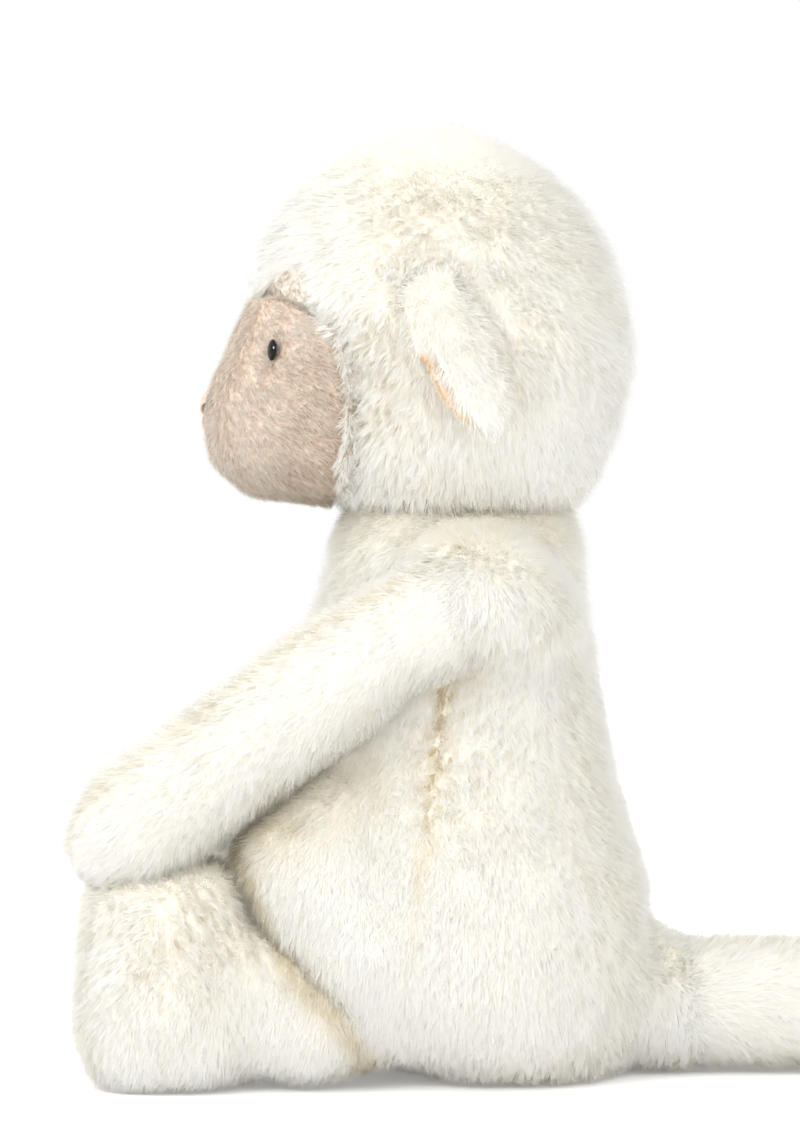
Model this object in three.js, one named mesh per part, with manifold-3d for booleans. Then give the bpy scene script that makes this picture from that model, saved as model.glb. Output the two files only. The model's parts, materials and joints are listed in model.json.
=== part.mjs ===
// A plush sheep that sits on its seat with its arms on its feet and its tail on the ground behind it.
// It faces -Y, its left side is +X, and the origin is the middle of the flat that it sits on.
// Every soft limb is a sewn skin round its own stuffing, and each swings on a ball or barrel
// whose middle is the joint, so that nothing meets while it moves.
import * as THREE from 'three';
import { mergeVertices } from 'three/addons/utils/BufferGeometryUtils.js';
import Module from 'manifold-3d';

const wasm = await Module();
wasm.setup();

// Cloth, seams and clearances, in millimetres
const wool_thickness = 6;
const short_pile_thickness = 3;
const seam_gap = 0.35;
const joint_gap = 1;
const seat_cut = 0.5;
const weld_distance = 0.0005;

// Torso
const torso_height = 125.6;
const torso_width = 97;
const belly_reach = 66;
const back_reach = 33.5;
const side_seam_lean = 17;
const pellet_pouch_height = 24;

// Neck and head
const neck_radius = 31;
const neck_depth = 11;
const head_height = 98.3;
const head_width = 86;
const forehead_reach = 66.3;
const head_back_reach = 27.3;
const face_reach = 76;
const face_width = 62;
const face_seat = 44;

// Eyes and nose
const eye_diameter = 6.4;
const eye_dome_height = 2.4;
const eye_shank_diameter = 2.2;
const eye_shank_length = 7.5;
const eye_washer_diameter = 9;
const eye_washer_thickness = 1.4;
const nose_width = 10;
const nose_height = 7.5;
const nose_thread_width = 1.8;
const nose_thread_height = 0.9;

// Ears
const ear_length = 39;
const ear_width = 30;
const ear_thickness = 9.5;
const ear_root_radius = 4.6;
const ear_root_length = 21;
const ear_lean = 13;

// Arms
const arm_thickness = 35;
const elbow_spread = 5;
const paw_overhang = 2;
const paw_sink = 7.5;

// Legs and feet
const leg_thickness = 27;
const leg_length = 21.5;
const leg_lift = 2.5;
const foot_height = 52.5;
const foot_depth = 46;
const foot_width = 45;
const hip_swing_degrees = 75;

// Tail
const tail_thickness = 33;
const tail_length = 78;
const tail_swing_degrees = 60;

// How finely the forms are faceted, in counts
const torso_sides = 20;
const torso_rings = 12;
const head_sides = 20;
const head_rings = 13;
const face_sides = 14;
const face_rings = 10;
const limb_sides = 12;
const limb_rings = 9;
const foot_rings = 7;
const ear_sides = 12;
const ear_rings = 8;
const inner_sides = 8;
const inner_rings = 6;
const neck_sides = 18;
const neck_rings = 10;
const ball_sides = 14;
const ball_rings = 8;
const inner_ball_sides = 8;
const inner_ball_rings = 5;
const arc_steps = 5;
const small_sides = 10;

// Colours and finishes
const wool_finish = { color: 0xf6f4ea, roughness: 0.95, metalness: 0 };
const short_pile_finish = { color: 0xdac8b8, roughness: 0.9, metalness: 0 };
const lining_finish = { color: 0xf0cda5, roughness: 0.9, metalness: 0 };
const eye_finish = { color: 0x0b0a0a, roughness: 0.12, metalness: 0 };
const thread_finish = { color: 0xcbb09e, roughness: 0.7, metalness: 0 };
const stuffing_finish = { color: 0xffffff, roughness: 1, metalness: 0 };
const washer_finish = { color: 0xe9e9e6, roughness: 0.5, metalness: 0 };
const pouch_finish = { color: 0xd9d4c8, roughness: 0.95, metalness: 0 };

const sheep = new THREE.Group();

// Turns a geometry with shared corners into a solid that can be joined and cut.
function solid(geometry) {
  const bare = geometry.clone();
  for (const name of ['normal', 'uv']) {
    if (bare.attributes[name]) bare.deleteAttribute(name);
  }
  const merged = mergeVertices(bare, weld_distance);
  const vertProperties = new Float32Array(merged.attributes.position.array);
  const triVerts = new Uint32Array(merged.index.array);
  return new wasm.Manifold(new wasm.Mesh({ numProp: 3, vertProperties, triVerts }));
}

// Adds a solid to the sheep as a named mesh of its own.
function addPiece(name, shape, finish) {
  const cut = shape.getMesh();
  const geometry = new THREE.BufferGeometry();
  geometry.setAttribute('position', new THREE.BufferAttribute(new Float32Array(cut.vertProperties), 3));
  geometry.setIndex(new THREE.BufferAttribute(new Uint32Array(cut.triVerts), 1));
  geometry.computeVertexNormals();
  const mesh = new THREE.Mesh(geometry, new THREE.MeshStandardMaterial(finish));
  mesh.name = name;
  sheep.add(mesh);
}

// A station is a section of a stuffed form: its middle, and its half sizes as two vectors.
function station(middle, across, deep) {
  return { middle, across, deep };
}

// A level section, from its height, its front and back, and its half width.
function levelStation(height, front, back, halfWidth, side = 0) {
  return station(
    new THREE.Vector3(side, (front + back) / 2, height),
    new THREE.Vector3(halfWidth, 0, 0),
    new THREE.Vector3(0, (back - front) / 2, 0),
  );
}

// Smooth curves through the middles and half sizes of a list of stations.
function stationCurves(stations) {
  const through = (key) => new THREE.CatmullRomCurve3(stations.map((s) => s[key]), false, 'catmullrom');
  return { middle: through('middle'), across: through('across'), deep: through('deep') };
}

// The point of a form at a share of its length and an angle round it. Fullness 2 is an ellipse.
function formPoint(curves, share, angle, fullness) {
  const rounded = (value) => Math.sign(value) * Math.abs(value) ** (2 / fullness);
  const point = curves.middle.getPoint(share);
  point.addScaledVector(curves.across.getPoint(share), rounded(Math.cos(angle)));
  return point.addScaledVector(curves.deep.getPoint(share), rounded(Math.sin(angle)));
}

// A closed form: rings through the stations, with a point at each end.
function stuffedForm(stations, sides, rings, fullness = 2) {
  const curves = stationCurves(stations);
  const corners = [curves.middle.getPoint(0)];
  for (let ring = 1; ring < rings; ring += 1) {
    for (let side = 0; side < sides; side += 1) {
      corners.push(formPoint(curves, ring / rings, (2 * Math.PI * side) / sides, fullness));
    }
  }
  corners.push(curves.middle.getPoint(1));
  const top = corners.length - 1;
  const at = (ring, side) => 1 + (ring - 1) * sides + (side % sides);
  const faces = [];
  for (let side = 0; side < sides; side += 1) {
    faces.push(0, at(1, side + 1), at(1, side));
    faces.push(top, at(rings - 1, side), at(rings - 1, side + 1));
    for (let ring = 1; ring < rings - 1; ring += 1) {
      faces.push(at(ring, side), at(ring, side + 1), at(ring + 1, side + 1));
      faces.push(at(ring, side), at(ring + 1, side + 1), at(ring + 1, side));
    }
  }
  const geometry = new THREE.BufferGeometry().setFromPoints(corners);
  geometry.setIndex(faces);
  return geometry;
}

// The same form with its surface moved in by a depth, or out where the depth is negative.
function drawnIn(geometry, depth) {
  const moved = geometry.clone();
  moved.computeVertexNormals();
  const place = moved.attributes.position;
  const normal = moved.attributes.normal;
  for (let i = 0; i < place.count; i += 1) {
    place.setXYZ(
      i,
      place.getX(i) - normal.getX(i) * depth,
      place.getY(i) - normal.getY(i) * depth,
      place.getZ(i) - normal.getZ(i) * depth,
    );
  }
  return moved;
}

// A ball, laid with its poles on the X axis, along which most of the joints turn.
function ball(middle, radius, sides = ball_sides, rings = ball_rings) {
  const geometry = new THREE.SphereGeometry(radius, sides, rings);
  geometry.rotateZ(Math.PI / 2);
  geometry.translate(middle.x, middle.y, middle.z);
  return solid(geometry);
}

// A large block with one face through a point, lying behind it as seen from where the face looks.
const block_size = 3 * (torso_height + head_height);
function blockBehind(point, facing) {
  const geometry = new THREE.BoxGeometry(block_size, block_size, block_size);
  geometry.translate(0, 0, -block_size / 2);
  const turn = new THREE.Quaternion().setFromUnitVectors(new THREE.Vector3(0, 0, 1), facing);
  geometry.applyQuaternion(turn);
  geometry.translate(point.x, point.y, point.z);
  return solid(geometry);
}

// The two sides of a solid at a seam, with the seam's gap between them.
function splitAt(shape, point, facing) {
  const gap = facing.clone().multiplyScalar(seam_gap / 2);
  const ahead = shape.subtract(blockBehind(point.clone().add(gap), facing));
  const behind = shape.subtract(blockBehind(point.clone().sub(gap), facing.clone().negate()));
  return [ahead, behind];
}

// The room that a limb of a given radius sweeps as it swings about X from one direction to another.
function swingRoom(pivot, radius, fromDegrees, toDegrees) {
  const from = THREE.MathUtils.degToRad(fromDegrees);
  const to = THREE.MathUtils.degToRad(toDegrees);
  const far = block_size / 2;
  const edge = (angle, away, direction) => [
    pivot.y + radius * Math.cos(angle) + away * Math.cos(direction),
    pivot.z + radius * Math.sin(angle) + away * Math.sin(direction),
  ];
  const outline = new THREE.Shape();
  outline.moveTo(...edge(from - Math.PI / 2, far, from));
  const sweep = Math.PI - (to - from);
  for (let step = 0; step <= arc_steps; step += 1) {
    outline.lineTo(...edge(from - Math.PI / 2 - (sweep * step) / arc_steps, 0, from));
  }
  outline.lineTo(...edge(to + Math.PI / 2, far, to));
  const geometry = new THREE.ExtrudeGeometry(outline, { depth: 2 * radius, bevelEnabled: false });
  const basis = new THREE.Matrix4().makeBasis(
    new THREE.Vector3(0, 1, 0),
    new THREE.Vector3(0, 0, 1),
    new THREE.Vector3(1, 0, 0),
  );
  geometry.applyMatrix4(basis);
  geometry.translate(pivot.x - radius, 0, 0);
  return solid(geometry);
}

const below_seat = blockBehind(new THREE.Vector3(0, 0, 0), new THREE.Vector3(0, 0, 1));

// Torso: a pear that is fullest low down, as height, front, back and width shares
const torso_shares = [
  [0.04, 0.62, 0.93, 0.87],
  [0.125, 0.76, 1.0, 0.97],
  [0.265, 0.92, 1.0, 1.0],
  [0.425, 1.0, 0.88, 0.965],
  [0.58, 0.97, 0.7, 0.87],
  [0.735, 0.86, 0.6, 0.755],
  [0.88, 0.74, 0.5, 0.65],
  [1.0, 0.64, 0.41, 0.56],
  [1.09, 0.45, 0.06, 0.33],
];
const seat_shares = [0.42, 0.8, 0.62];
const torso_top_share = 1.11;
const torso_fullness = 2.15;
const torso_stations = [
  levelStation(-seat_cut, 0, 0, 0),
  levelStation(
    -seat_cut,
    -belly_reach * seat_shares[0],
    back_reach * seat_shares[1],
    (torso_width / 2) * seat_shares[2],
  ),
  ...torso_shares.map(([height, front, back, width]) =>
    levelStation(
      torso_height * height,
      -belly_reach * front,
      back_reach * back,
      (torso_width / 2) * width,
    ),
  ),
];
const neck_set_back_share = 0.227;
const neck = new THREE.Vector3(0, -belly_reach * neck_set_back_share, torso_height - neck_depth);
torso_stations.push(levelStation(torso_height * torso_top_share, neck.y, neck.y, 0));

const shoulder_shares = { side: 0.77, front: 0.165, height: 0.9 };
const hip_shares = { side: 0.6, front: 0.545 };
const tail_root_share = 1.075;
const leg_radius = leg_thickness / 2;
const tail_radius = tail_thickness / 2;
const arm_radius = arm_thickness / 2;
const left = 1;
const right = -1;

function shoulderOf(hand) {
  return new THREE.Vector3(
    (hand * torso_width * shoulder_shares.side) / 2,
    -belly_reach * shoulder_shares.front,
    torso_height * shoulder_shares.height,
  );
}

function hipOf(hand) {
  return new THREE.Vector3(
    (hand * torso_width * hip_shares.side) / 2,
    -belly_reach * hip_shares.front,
    leg_radius + leg_lift,
  );
}

const tail_root = new THREE.Vector3(0, back_reach * tail_root_share, tail_radius - seat_cut);

// The torso's outline, with the rooms for the limbs taken out of it, drawn in by a depth all over.
function torsoAt(depth, sides, rings) {
  const form = stuffedForm(torso_stations, sides, rings, torso_fullness);
  let shape = solid(drawnIn(form, depth));
  const [round, rows] = depth > 0 ? [inner_ball_sides, inner_ball_rings] : [neck_sides, neck_rings];
  shape = shape.add(ball(neck, neck_radius - depth, round, rows));
  for (const hand of [left, right]) {
    shape = shape.subtract(ball(shoulderOf(hand), arm_radius + joint_gap + depth));
    const room = leg_radius + joint_gap + depth;
    shape = shape.subtract(swingRoom(hipOf(hand), room, 180, 180 + hip_swing_degrees));
  }
  const tail_room = tail_radius + joint_gap + depth;
  shape = shape.subtract(swingRoom(tail_root, tail_room, 0, tail_swing_degrees));
  return depth > 0 ? shape : shape.subtract(below_seat);
}

function addTorso() {
  const skin = torsoAt(0, torso_sides, torso_rings).subtract(
    torsoAt(wool_thickness, inner_sides, inner_rings),
  );
  const seam_middle = new THREE.Vector3(0, -belly_reach / 3, torso_height / 2);
  const seam_facing = new THREE.Vector3(0, -torso_height, side_seam_lean).normalize();
  const [belly, back] = splitAt(skin, seam_middle, seam_facing);
  addPiece('belly_panel', belly, wool_finish);
  addPiece('back_panel', back, wool_finish);
  const filling = torsoAt(wool_thickness + seam_gap, inner_sides, inner_rings);
  const pouch_top = new THREE.Vector3(0, 0, pellet_pouch_height);
  const [stuffing, pouch] = splitAt(filling, pouch_top, new THREE.Vector3(0, 0, 1));
  addPiece('torso_stuffing', stuffing, stuffing_finish);
  addPiece('pellet_pouch', pouch, pouch_finish);
}

// Head: wool over the crown, sides and nape, as height, front, back and width shares
const head_shares = [
  [0.053, 0.634, 0.557, 0.67],
  [0.1, 0.67, 0.68, 0.78],
  [0.2, 0.686, 0.79, 0.92],
  [0.295, 0.686, 0.927, 0.977],
  [0.392, 0.694, 1.0, 1.0],
  [0.489, 0.75, 0.99, 1.0],
  [0.553, 0.86, 0.963, 0.984],
  [0.613, 0.98, 0.916, 0.953],
  [0.683, 1.0, 0.86, 0.895],
  [0.759, 0.935, 0.744, 0.802],
  [0.827, 0.852, 0.55, 0.686],
  [0.894, 0.739, 0.275, 0.523],
  [0.955, 0.558, -0.147, 0.302],
];
const head_bottom_share = 0;
const crown_front_share = 0.3;
const head_fullness = 2.1;
const head_stations = [
  levelStation(torso_height + head_height * head_bottom_share, neck.y, neck.y, 0),
  ...head_shares.map(([height, front, back, width]) =>
    levelStation(
      torso_height + head_height * height,
      -forehead_reach * front,
      head_back_reach * back,
      (head_width / 2) * width,
    ),
  ),
  levelStation(
    torso_height + head_height,
    -forehead_reach * crown_front_share,
    -forehead_reach * crown_front_share,
    0,
  ),
];

// Face: a short-pile muzzle in front of the wool, as height, front and width shares
const face_shares = [
  [0.102, 0.808, 0.56],
  [0.148, 0.933, 0.78],
  [0.199, 0.983, 0.89],
  [0.246, 1.0, 0.94],
  [0.295, 1.0, 0.97],
  [0.342, 0.995, 0.985],
  [0.392, 0.979, 1.0],
  [0.442, 0.945, 1.0],
  [0.489, 0.913, 1.0],
  [0.533, 0.895, 0.985],
  [0.583, 0.86, 0.935],
  [0.633, 0.816, 0.84],
  [0.683, 0.75, 0.68],
];
const chin_share = 0.077;
const face_top_share = 0.713;
const face_back_share = 0.4;
const face_fullness = 2.2;
const face_back = -face_seat * face_back_share;
const face_stations = [
  levelStation(torso_height + head_height * chin_share, -face_seat, -face_seat, 0),
  ...face_shares.map(([height, front, width]) =>
    levelStation(
      torso_height + head_height * height,
      -face_reach * front,
      face_back,
      (face_width / 2) * width,
    ),
  ),
  levelStation(torso_height + head_height * face_top_share, -face_seat, -face_seat, 0),
];

// Where a feature sits on the face: the point, and the direction that the surface looks there.
function faceSpot(share, angle) {
  const curves = stationCurves(face_stations);
  const step = 1 / face_rings / face_sides;
  const point = formPoint(curves, share, angle, face_fullness);
  const up = formPoint(curves, share + step, angle, face_fullness).sub(point);
  const round = formPoint(curves, share, angle + step, face_fullness).sub(point);
  return { point, facing: round.cross(up).normalize() };
}

function skullAt(depth, sides, rings) {
  return solid(drawnIn(stuffedForm(head_stations, sides, rings, head_fullness), depth));
}

function muzzleAt(depth, sides, rings) {
  return solid(drawnIn(stuffedForm(face_stations, sides, rings, face_fullness), depth));
}

// A round bar along a direction, starting at a point: eye shanks, washers and ear roots.
function roundBar(start, facing, radius, length) {
  const geometry = new THREE.CylinderGeometry(radius, radius, length, small_sides);
  geometry.translate(0, length / 2, 0);
  geometry.applyQuaternion(new THREE.Quaternion().setFromUnitVectors(new THREE.Vector3(0, 1, 0), facing));
  geometry.translate(start.x, start.y, start.z);
  return solid(geometry);
}

const eye_height_share = 0.59;
const eye_turn_share = 0.31;
function eyeSpot(hand) {
  const from_front = hand * Math.PI * eye_turn_share;
  return faceSpot(eye_height_share, -Math.PI / 2 + from_front);
}

// The space that the eye's washer and shank take behind the cloth, with a gap all round.
function eyeRoom(hand, gap) {
  const { point, facing } = eyeSpot(hand);
  const inwards = facing.clone().negate();
  const washer_start = point.clone().addScaledVector(inwards, short_pile_thickness);
  return roundBar(
    washer_start,
    inwards,
    eye_washer_diameter / 2 + gap,
    eye_shank_length - short_pile_thickness + 2 * gap,
  );
}

function addEye(hand, side) {
  const { point, facing } = eyeSpot(hand);
  const inwards = facing.clone().negate();
  const dome_form = new THREE.SphereGeometry(eye_diameter / 2, small_sides, small_sides / 2);
  dome_form.scale(1, (2 * eye_dome_height) / eye_diameter, 1);
  const upright = new THREE.Vector3(0, 1, 0);
  dome_form.applyQuaternion(new THREE.Quaternion().setFromUnitVectors(upright, facing));
  const seat = point.clone().addScaledVector(facing, seam_gap);
  dome_form.translate(seat.x, seat.y, seat.z);
  const shank_start = seat.clone().addScaledVector(facing, eye_dome_height / 2);
  const shank_reach = eye_shank_length + eye_dome_height / 2;
  const shank = roundBar(shank_start, inwards, eye_shank_diameter / 2, shank_reach);
  const dome = solid(dome_form).subtract(blockBehind(seat, facing));
  addPiece(`${side}_eye`, dome.add(shank), eye_finish);
  const washer_start = point.clone().addScaledVector(inwards, short_pile_thickness + 2 * seam_gap);
  const washer = roundBar(washer_start, inwards, eye_washer_diameter / 2, eye_washer_thickness);
  const bore = roundBar(point, inwards, eye_shank_diameter / 2 + seam_gap, 2 * eye_shank_length);
  addPiece(`${side}_eye_washer`, washer.subtract(bore), washer_finish);
}

// Nose: three thread bars sewn as a small Y on the front of the muzzle
const nose_place_share = 0.36;
const muzzle_bow = 6;
function addNose() {
  const { point } = faceSpot(nose_place_share, -Math.PI / 2);
  const bars = [
    [-nose_width / 2, nose_height / 2, 0, 0],
    [nose_width / 2, nose_height / 2, 0, 0],
    [0, 0, 0, -nose_height / 2],
  ];
  let stitches = null;
  for (const [x1, z1, x2, z2] of bars) {
    const from = new THREE.Vector3(x1, 0, z1);
    const to = new THREE.Vector3(x2, 0, z2);
    const along = to.clone().sub(from);
    const length = along.length();
    const deep = muzzle_bow + nose_thread_height;
    const bar = new THREE.BoxGeometry(nose_thread_width, length + nose_thread_width, deep);
    bar.applyQuaternion(
      new THREE.Quaternion().setFromUnitVectors(new THREE.Vector3(0, 1, 0), along.normalize()),
    );
    const middle = from.clone().add(to).divideScalar(2);
    bar.translate(middle.x, 0, middle.z);
    const shape = solid(bar);
    stitches = stitches ? stitches.add(shape) : shape;
  }
  const raised = muzzleAt(-seam_gap - nose_thread_height, face_sides, face_rings);
  const cloth = muzzleAt(-seam_gap, face_sides, face_rings);
  const placed = stitches.translate([0, point.y, point.z]);
  addPiece('nose_stitching', placed.intersect(raised).subtract(cloth), thread_finish);
}

const ear_root_shares = { side: 0.92, front: 0.34, height: 0.612 };
function earRootOf(hand) {
  return new THREE.Vector3(
    (hand * head_width * ear_root_shares.side) / 2,
    -forehead_reach * ear_root_shares.front,
    torso_height + head_height * ear_root_shares.height,
  );
}

// The barrel in which an ear turns, along Y, with its radius and length given.
function earBarrel(hand, radius, length) {
  const start = earRootOf(hand);
  start.y -= length / 2;
  return roundBar(start, new THREE.Vector3(0, 1, 0), radius, length);
}

function addHead() {
  const neck_room = (depth) => ball(neck, neck_radius + joint_gap + depth, neck_sides, neck_rings);
  const outer_neck = neck_room(0);
  const inner_neck = neck_room(wool_thickness);
  const filling_neck = neck_room(wool_thickness + seam_gap);
  let hollow = skullAt(wool_thickness, inner_sides, inner_rings).subtract(inner_neck);
  hollow = hollow.add(muzzleAt(short_pile_thickness, inner_sides, inner_rings).subtract(inner_neck));
  let filling = skullAt(wool_thickness + seam_gap, inner_sides, inner_rings);
  filling = filling.add(muzzleAt(short_pile_thickness + seam_gap, inner_sides, inner_rings));
  filling = filling.subtract(filling_neck);
  let wool = skullAt(0, head_sides, head_rings).subtract(outer_neck).subtract(hollow);
  let face = muzzleAt(0, face_sides, face_rings).subtract(outer_neck);
  face = face.subtract(skullAt(-seam_gap, head_sides, head_rings)).subtract(hollow);
  for (const hand of [left, right]) {
    const root_room = ear_root_radius + joint_gap;
    wool = wool.subtract(earBarrel(hand, root_room, ear_root_length + 2 * joint_gap));
    const { point, facing } = eyeSpot(hand);
    const inwards = facing.clone().negate();
    const start = point.clone().addScaledVector(facing, eye_shank_length);
    const hole = roundBar(start, inwards, eye_shank_diameter / 2 + seam_gap, 3 * eye_shank_length);
    face = face.subtract(hole).subtract(eyeRoom(hand, seam_gap));
    filling = filling.subtract(eyeRoom(hand, 2 * seam_gap));
    const deep_room = root_room + seam_gap;
    filling = filling.subtract(earBarrel(hand, deep_room, ear_root_length + 4 * joint_gap));
  }
  const middle = new THREE.Vector3(0, 0, 0);
  const leftwards = new THREE.Vector3(1, 0, 0);
  const [wool_left, wool_right] = splitAt(wool, middle, leftwards);
  const [face_left, face_right] = splitAt(face, middle, leftwards);
  addPiece('head_left_panel', wool_left, wool_finish);
  addPiece('head_right_panel', wool_right, wool_finish);
  addPiece('face_left_panel', face_left, short_pile_finish);
  addPiece('face_right_panel', face_right, short_pile_finish);
  addPiece('head_stuffing', filling, stuffing_finish);
  addEye(left, 'left');
  addEye(right, 'right');
  addNose();
}

// Ears: a flap that hangs from its barrel over the side of the head, as length, thickness and width shares
const ear_shares = [
  [0.0, 0.8, 0.62],
  [0.14, 0.95, 0.8],
  [0.36, 1.0, 0.98],
  [0.6, 1.0, 1.0],
  [0.8, 0.92, 0.86],
  [0.93, 0.66, 0.56],
];
const ear_stand_share = 0.26;
const ear_seam_share = 0.45;
const ear_top_share = -0.06;
function addEar(hand, side) {
  const root = earRootOf(hand);
  const down = new THREE.Vector3(0, ear_lean, -Math.sqrt(ear_length ** 2 - ear_lean ** 2)).normalize();
  const deep_way = new THREE.Vector3(1, 0, 0).cross(down).negate();
  const hang = (share) => {
    const out = ear_length * ear_stand_share * Math.sin((Math.PI / 2) * Math.max(0, share));
    return root.clone().addScaledVector(down, ear_length * share).add(new THREE.Vector3(hand * out, 0, 0));
  };
  const none = new THREE.Vector3(0, 0, 0);
  const section = ([share, thick, wide]) =>
    station(
      hang(share),
      new THREE.Vector3((ear_thickness * thick) / 2, 0, 0),
      deep_way.clone().multiplyScalar((ear_width * wide) / 2),
    );
  const stations = [
    station(hang(ear_top_share), none, none),
    ...ear_shares.map(section),
    station(hang(1), none, none),
  ];
  const flap = solid(stuffedForm(stations, ear_sides, ear_rings)).subtract(
    skullAt(-joint_gap, head_sides, head_rings),
  );
  const ear = flap.add(earBarrel(hand, ear_root_radius, ear_root_length));
  const seam_facing = deep_way.clone().cross(hang(1).sub(root)).normalize();
  if (seam_facing.x * hand < 0) seam_facing.negate();
  const [back, lining] = splitAt(ear, hang(ear_seam_share), seam_facing);
  addPiece(`${side}_ear_back`, back, wool_finish);
  addPiece(`${side}_ear_lining`, lining, lining_finish);
}

// Stations for a limb along a curve, with a round end past each end of the curve.
const round_end_shares = [
  [0.92, 0.39],
  [0.62, 0.785],
];
function limbStations(curve, thicknessShares, halfWidth, halfDepth) {
  const side_way = new THREE.Vector3(1, 0, 0);
  const none = new THREE.Vector3(0, 0, 0);
  const cut = (share, size, away) => {
    const along = curve.getTangent(share);
    const middle = curve.getPoint(share).addScaledVector(along, away * halfDepth);
    const deep = along.clone().cross(side_way).normalize();
    const across = deep.clone().cross(along).normalize();
    return station(
      middle,
      size ? across.multiplyScalar(halfWidth * size) : none,
      size ? deep.multiplyScalar(halfDepth * size) : none,
    );
  };
  const [first] = thicknessShares;
  const last = thicknessShares[thicknessShares.length - 1];
  return [
    cut(0, 0, -first[1]),
    ...round_end_shares.map(([away, size]) => cut(0, size * first[1], -away * first[1])),
    ...thicknessShares.map(([share, size]) => cut(share, size, 0)),
    ...[...round_end_shares].reverse().map(([away, size]) => cut(1, size * last[1], away * last[1])),
    cut(1, 0, last[1]),
  ];
}

// Feet: upright blocks with round corners, as height, front, back and width shares
const foot_shares = [
  [0.07, 0.95, 0.06, 0.88],
  [0.2, 1.0, 0.0, 0.97],
  [0.45, 1.0, 0.05, 1.0],
  [0.7, 0.985, 0.12, 0.97],
  [0.87, 0.95, 0.2, 0.86],
  [0.965, 0.85, 0.32, 0.6],
];
const sole_shares = [0.86, 0.18, 0.62];
const foot_top_share = 0.6;
const foot_fullness = 2.5;
function footForm(hand, sides, rings) {
  const hip = hipOf(hand);
  const heel = hip.y - leg_length;
  const level = (height, front, back, width) =>
    levelStation(
      height,
      heel - foot_depth * front,
      heel - foot_depth * back,
      (foot_width / 2) * width,
      hip.x,
    );
  const stations = [
    level(-seat_cut, foot_top_share, foot_top_share, 0),
    level(-seat_cut, ...sole_shares),
    ...foot_shares.map(([height, front, back, width]) => level(foot_height * height, front, back, width)),
    level(foot_height, foot_top_share, foot_top_share, 0),
  ];
  return stuffedForm(stations, sides, rings, foot_fullness);
}

const leg_shares = [
  [0, 0.97],
  [0.5, 0.97],
  [1, 0.97],
];
function legAt(hand, depth, sides, rings) {
  const hip = hipOf(hand);
  const foot_middle = new THREE.Vector3(hip.x, hip.y - leg_length - foot_depth / 2, hip.z);
  const curve = new THREE.LineCurve3(hip, foot_middle);
  const tube = stuffedForm(limbStations(curve, leg_shares, leg_radius, leg_radius), sides, rings);
  const foot = solid(drawnIn(footForm(hand, sides, foot_rings), depth));
  const shape = solid(drawnIn(tube, depth)).add(foot);
  return depth > 0 ? shape : shape.subtract(below_seat);
}

function addLeg(hand, side) {
  const skin = legAt(hand, 0, limb_sides, limb_rings).subtract(
    legAt(hand, wool_thickness, inner_sides, inner_rings),
  );
  const hip = hipOf(hand);
  const [outer, inner] = splitAt(skin, hip, new THREE.Vector3(hand, 0, 0));
  addPiece(`${side}_leg_outer_panel`, outer, wool_finish);
  addPiece(`${side}_leg_inner_panel`, inner, wool_finish);
  const filling = legAt(hand, wool_thickness + seam_gap, inner_sides, inner_rings);
  addPiece(`${side}_leg_stuffing`, filling, stuffing_finish);
}

// Arms: from the shoulder over the belly's side to a paw that rests on the foot
const arm_shares = [
  [0, 0.97],
  [0.25, 0.99],
  [0.5, 1.0],
  [0.75, 0.98],
  [1, 0.96],
];
const elbow_drop_share = 0.47;
const arm_width_share = 0.96;
const arm_seam_degrees = 40;
function armCurve(hand) {
  const shoulder = shoulderOf(hand);
  const hip = hipOf(hand);
  const paw = new THREE.Vector3(
    hip.x + (hand * elbow_spread) / 2,
    hip.y - leg_length - foot_depth + arm_radius - paw_overhang,
    foot_height + arm_radius - paw_sink,
  );
  const elbow = shoulder.clone().lerp(paw, elbow_drop_share);
  elbow.x += hand * elbow_spread;
  return new THREE.CatmullRomCurve3([shoulder, elbow, paw]);
}

function armAt(hand, depth, sides, rings) {
  const curve = armCurve(hand);
  const stations = limbStations(curve, arm_shares, arm_radius * arm_width_share, arm_radius);
  let shape = solid(drawnIn(stuffedForm(stations, sides, rings), depth));
  const torso = stuffedForm(torso_stations, torso_sides, torso_rings, torso_fullness);
  shape = shape.subtract(solid(drawnIn(torso, -joint_gap - depth)));
  shape = shape.subtract(solid(drawnIn(footForm(hand, limb_sides, foot_rings), -joint_gap - depth)));
  shape = shape.subtract(ball(neck, neck_radius + joint_gap + depth, neck_sides, neck_rings));
  return shape.add(ball(shoulderOf(hand), arm_radius - depth, sides, inner_ball_rings));
}

function addArm(hand, side) {
  const skin = armAt(hand, 0, limb_sides, limb_rings).subtract(
    armAt(hand, wool_thickness, inner_sides, inner_rings),
  );
  const shoulder = shoulderOf(hand);
  const along = armCurve(hand).getPoint(1).sub(shoulder).normalize();
  const tilt = THREE.MathUtils.degToRad(arm_seam_degrees);
  const up = new THREE.Vector3(1, 0, 0).cross(along).normalize();
  if (up.z < 0) up.negate();
  const facing = new THREE.Vector3(hand * Math.cos(tilt), 0, 0).addScaledVector(up, -Math.sin(tilt));
  facing.addScaledVector(along, -facing.dot(along)).normalize();
  const [outer, inner] = splitAt(skin, shoulder, facing);
  addPiece(`${side}_arm_outer_panel`, outer, wool_finish);
  addPiece(`${side}_arm_inner_panel`, inner, wool_finish);
  const filling = armAt(hand, wool_thickness + seam_gap, inner_sides, inner_rings);
  addPiece(`${side}_arm_stuffing`, filling, stuffing_finish);
}

// Tail: a thick roll that lies straight back on the ground
const tail_shares = [
  [0, 0.97],
  [0.3, 0.99],
  [0.65, 1.0],
  [1, 0.93],
];
function tailAt(depth, sides, rings) {
  const tip = tail_root.clone().add(new THREE.Vector3(0, tail_length - tail_radius, 0));
  const curve = new THREE.LineCurve3(tail_root, tip);
  const form = stuffedForm(limbStations(curve, tail_shares, tail_radius, tail_radius), sides, rings);
  const shape = solid(drawnIn(form, depth));
  return depth > 0 ? shape : shape.subtract(below_seat);
}

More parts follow.
